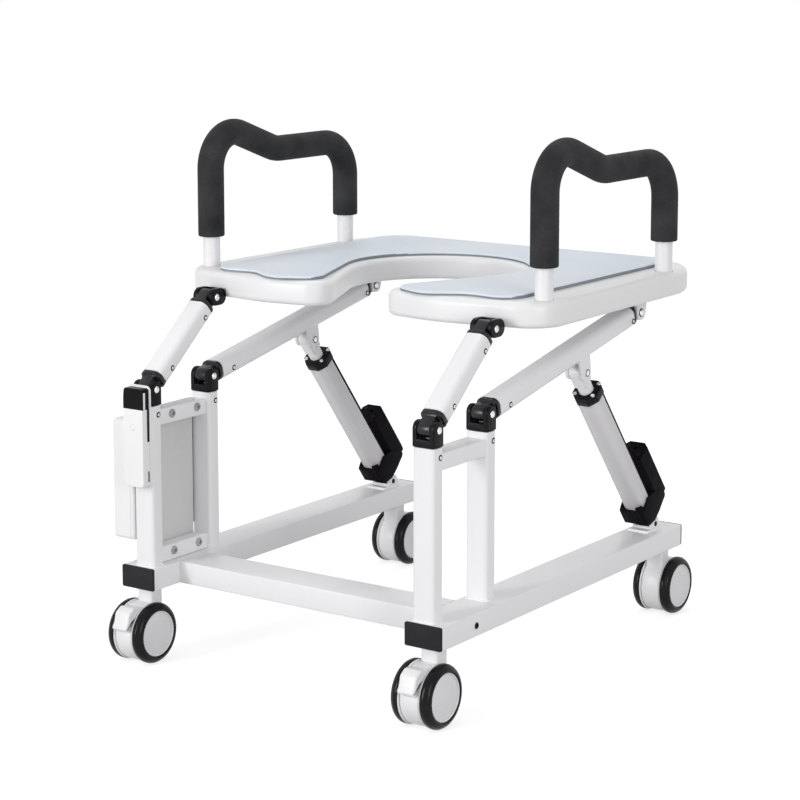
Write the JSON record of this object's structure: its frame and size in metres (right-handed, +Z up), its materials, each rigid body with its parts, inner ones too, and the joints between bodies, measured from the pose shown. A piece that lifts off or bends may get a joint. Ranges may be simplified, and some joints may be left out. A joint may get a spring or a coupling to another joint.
{
  "type": "powered toilet lift",
  "caption": "Wheeled frame whose two actuators raise and tilt a padded horseshoe seat with hand rails over a toilet.",
  "frame": {"origin": "on the floor, in the middle of the whole outline", "axes": "+X to the right-hand side seen from the front, +Y from the open front of the seat to its rear, +Z up"},
  "size_m": [0.5424, 0.6351, 0.6512],
  "materials": {
    "white_paint": "white powder coat, semi-gloss",
    "white_plastic": "white moulded plastic, semi-matt",
    "black_plastic": "black moulded plastic",
    "grey_sheet": "light grey painted sheet",
    "pad": "pale blue-grey upholstery vinyl",
    "foam": "black closed-cell foam",
    "aluminium": "satin extruded tube",
    "rubber": "black soft tread",
    "circuit_board": "green circuit board"
  },
  "bodies": {
    "base": {"control_board": "circuit_board", "control_box_back": "white_plastic", "control_box_cover": "white_plastic", "control_box_plate": "grey_sheet", "cross_member": "white_paint", "handset_holder": "white_plastic", "post_clevis_front_left": "black_plastic", "post_clevis_front_right": "black_plastic", "post_clevis_rear_left": "black_plastic", "post_clevis_rear_right": "black_plastic", "post_frame_left": "white_paint", "post_frame_right": "white_paint", "rail_front_cap_left": "black_plastic", "rail_front_cap_right": "black_plastic", "rail_left": "white_paint", "rail_rear_cap_left": "black_plastic", "rail_rear_cap_right": "black_plastic", "rail_right": "white_paint"},
    "short_arm_right": {"short_arm_right_tube": "white_paint", "short_arm_right_lower_end": "black_plastic", "short_arm_right_upper_end": "black_plastic"},
    "long_arm_right": {"long_arm_right_tube": "white_paint", "long_arm_right_lower_end": "black_plastic", "long_arm_right_upper_end": "black_plastic"},
    "actuator_right_body": {"actuator_right_gearbox_motor": "black_plastic", "actuator_right_guide_tube": "aluminium", "actuator_right_end_cap": "black_plastic"},
    "actuator_right_slider": {"actuator_right_rod": "white_paint"},
    "caster_front_right_fork": {"caster_front_right_housing": "white_plastic"},
    "caster_front_right_wheel_pair": {"caster_front_right_wheels": "rubber"},
    "caster_rear_right_fork": {"caster_rear_right_housing": "white_plastic"},
    "caster_rear_right_wheel_pair": {"caster_rear_right_wheels": "rubber"},
    "brake_pedal_right": {"caster_front_right_brake_pedal": "white_plastic"},
    "short_arm_left": {"short_arm_left_tube": "white_paint", "short_arm_left_lower_end": "black_plastic", "short_arm_left_upper_end": "black_plastic"},
    "long_arm_left": {"long_arm_left_tube": "white_paint", "long_arm_left_lower_end": "black_plastic", "long_arm_left_upper_end": "black_plastic"},
    "actuator_left_body": {"actuator_left_gearbox_motor": "black_plastic", "actuator_left_guide_tube": "aluminium", "actuator_left_end_cap": "black_plastic"},
    "actuator_left_slider": {"actuator_left_rod": "white_paint"},
    "caster_front_left_fork": {"caster_front_left_housing": "white_plastic"},
    "caster_front_left_wheel_pair": {"caster_front_left_wheels": "rubber"},
    "caster_rear_left_fork": {"caster_rear_left_housing": "white_plastic"},
    "caster_rear_left_wheel_pair": {"caster_rear_left_wheels": "rubber"},
    "brake_pedal_left": {"caster_front_left_brake_pedal": "white_plastic"},
    "seat": {"seat_shell": "white_plastic", "seat_pad": "pad", "seat_front_bracket_right": "black_plastic", "seat_front_bracket_left": "black_plastic", "seat_rear_bracket_right": "white_paint", "seat_rear_bracket_left": "white_paint", "hand_rail_right": "white_paint", "hand_rail_left": "white_paint", "hand_rail_grip_right": "foam", "hand_rail_grip_left": "foam"},
    "handset": {"handset_body": "black_plastic"},
    "button": {"handset_button": "white_plastic"}
  },
  "joints": [
    {"name": "lift", "type": "hinge", "parent": "base", "child": "long_arm_right", "pos_m": [0.2065, -0.15525, 0.34], "axis": [1, 0, 0], "range_deg": [0, 28]},
    {"name": "long_arm_left_pivot", "type": "hinge", "parent": "base", "child": "long_arm_left", "pos_m": [-0.2065, -0.15525, 0.34], "axis": [1, 0, 0], "range_deg": [0, 28]},
    {"name": "short_arm_right_pivot", "type": "hinge", "parent": "base", "child": "short_arm_right", "pos_m": [0.2065, -0.26425, 0.34], "axis": [1, 0, 0], "range_deg": [0, 29.6]},
    {"name": "short_arm_left_pivot", "type": "hinge", "parent": "base", "child": "short_arm_left", "pos_m": [-0.2065, -0.26425, 0.34], "axis": [1, 0, 0], "range_deg": [0, 29.6]},
    {"name": "seat_tilt", "type": "hinge", "parent": "long_arm_right", "child": "seat", "pos_m": [0, 0.19515, 0.4117], "axis": [1, 0, 0], "range_deg": [-9.3, 0]},
    {"name": "actuator_right_pivot", "type": "hinge", "parent": "base", "child": "actuator_right_body", "pos_m": [0.2085, 0.23885, 0.128], "axis": [1, 0, 0], "range_deg": [-6.3, 0]},
    {"name": "actuator_right_stroke", "type": "slide", "parent": "actuator_right_body", "child": "actuator_right_slider", "axis": [0, -0.6192, 0.7852], "range_m": [0, 0.098]},
    {"name": "actuator_left_pivot", "type": "hinge", "parent": "base", "child": "actuator_left_body", "pos_m": [-0.2085, 0.23885, 0.128], "axis": [1, 0, 0], "range_deg": [-6.3, 0]},
    {"name": "actuator_left_stroke", "type": "slide", "parent": "actuator_left_body", "child": "actuator_left_slider", "axis": [0, -0.6192, 0.7852], "range_m": [0, 0.098]},
    {"name": "caster_front_right_swivel", "type": "hinge", "parent": "base", "child": "caster_front_right_fork", "pos_m": [0.2119, -0.25905, 0.08], "axis": [0, 0, 1], "continuous": true},
    {"name": "caster_front_right_spin", "type": "hinge", "parent": "caster_front_right_fork", "child": "caster_front_right_wheel_pair", "pos_m": [0.2119, -0.27405, 0.0375], "axis": [1, 0, 0], "continuous": true},
    {"name": "caster_rear_right_swivel", "type": "hinge", "parent": "base", "child": "caster_rear_right_fork", "pos_m": [0.2119, 0.26515, 0.08], "axis": [0, 0, 1], "continuous": true},
    {"name": "caster_rear_right_spin", "type": "hinge", "parent": "caster_rear_right_fork", "child": "caster_rear_right_wheel_pair", "pos_m": [0.2119, 0.28015, 0.0375], "axis": [1, 0, 0], "continuous": true},
    {"name": "brake_right_press", "type": "hinge", "parent": "caster_front_right_fork", "child": "brake_pedal_right", "pos_m": [0.2119, -0.29065, 0.0665], "axis": [1, 0, 0], "range_deg": [0, 10]},
    {"name": "caster_front_left_swivel", "type": "hinge", "parent": "base", "child": "caster_front_left_fork", "pos_m": [-0.2119, -0.25905, 0.08], "axis": [0, 0, 1], "continuous": true},
    {"name": "caster_front_left_spin", "type": "hinge", "parent": "caster_front_left_fork", "child": "caster_front_left_wheel_pair", "pos_m": [-0.2119, -0.27405, 0.0375], "axis": [1, 0, 0], "continuous": true},
    {"name": "caster_rear_left_swivel", "type": "hinge", "parent": "base", "child": "caster_rear_left_fork", "pos_m": [-0.2119, 0.26515, 0.08], "axis": [0, 0, 1], "continuous": true},
    {"name": "caster_rear_left_spin", "type": "hinge", "parent": "caster_rear_left_fork", "child": "caster_rear_left_wheel_pair", "pos_m": [-0.2119, 0.28015, 0.0375], "axis": [1, 0, 0], "continuous": true},
    {"name": "brake_left_press", "type": "hinge", "parent": "caster_front_left_fork", "child": "brake_pedal_left", "pos_m": [-0.2119, -0.29065, 0.0665], "axis": [1, 0, 0], "range_deg": [0, 10]},
    {"name": "handset_lift_off", "type": "slide", "parent": "base", "child": "handset", "axis": [0, 0, 1], "range_m": [0, 0.1]},
    {"name": "handset_button_press", "type": "slide", "parent": "handset", "child": "button", "axis": [0, 1, 0], "range_m": [0, 0.001], "stiffness_N_per_m": 400}
  ],
  "couplings": [
    {"joint": "long_arm_left_pivot", "follows": "lift", "ratio": 1},
    {"joint": "short_arm_right_pivot", "follows": "lift", "ratio": 1.0546},
    {"joint": "short_arm_left_pivot", "follows": "lift", "ratio": 1.0546},
    {"joint": "seat_tilt", "follows": "lift", "ratio": -0.3303},
    {"joint": "actuator_right_pivot", "follows": "lift", "ratio": -0.222},
    {"joint": "actuator_right_stroke", "follows": "lift", "m_per_rad": 0.2},
    {"joint": "actuator_left_pivot", "follows": "lift", "ratio": -0.222},
    {"joint": "actuator_left_stroke", "follows": "lift", "m_per_rad": 0.2}
  ]
}
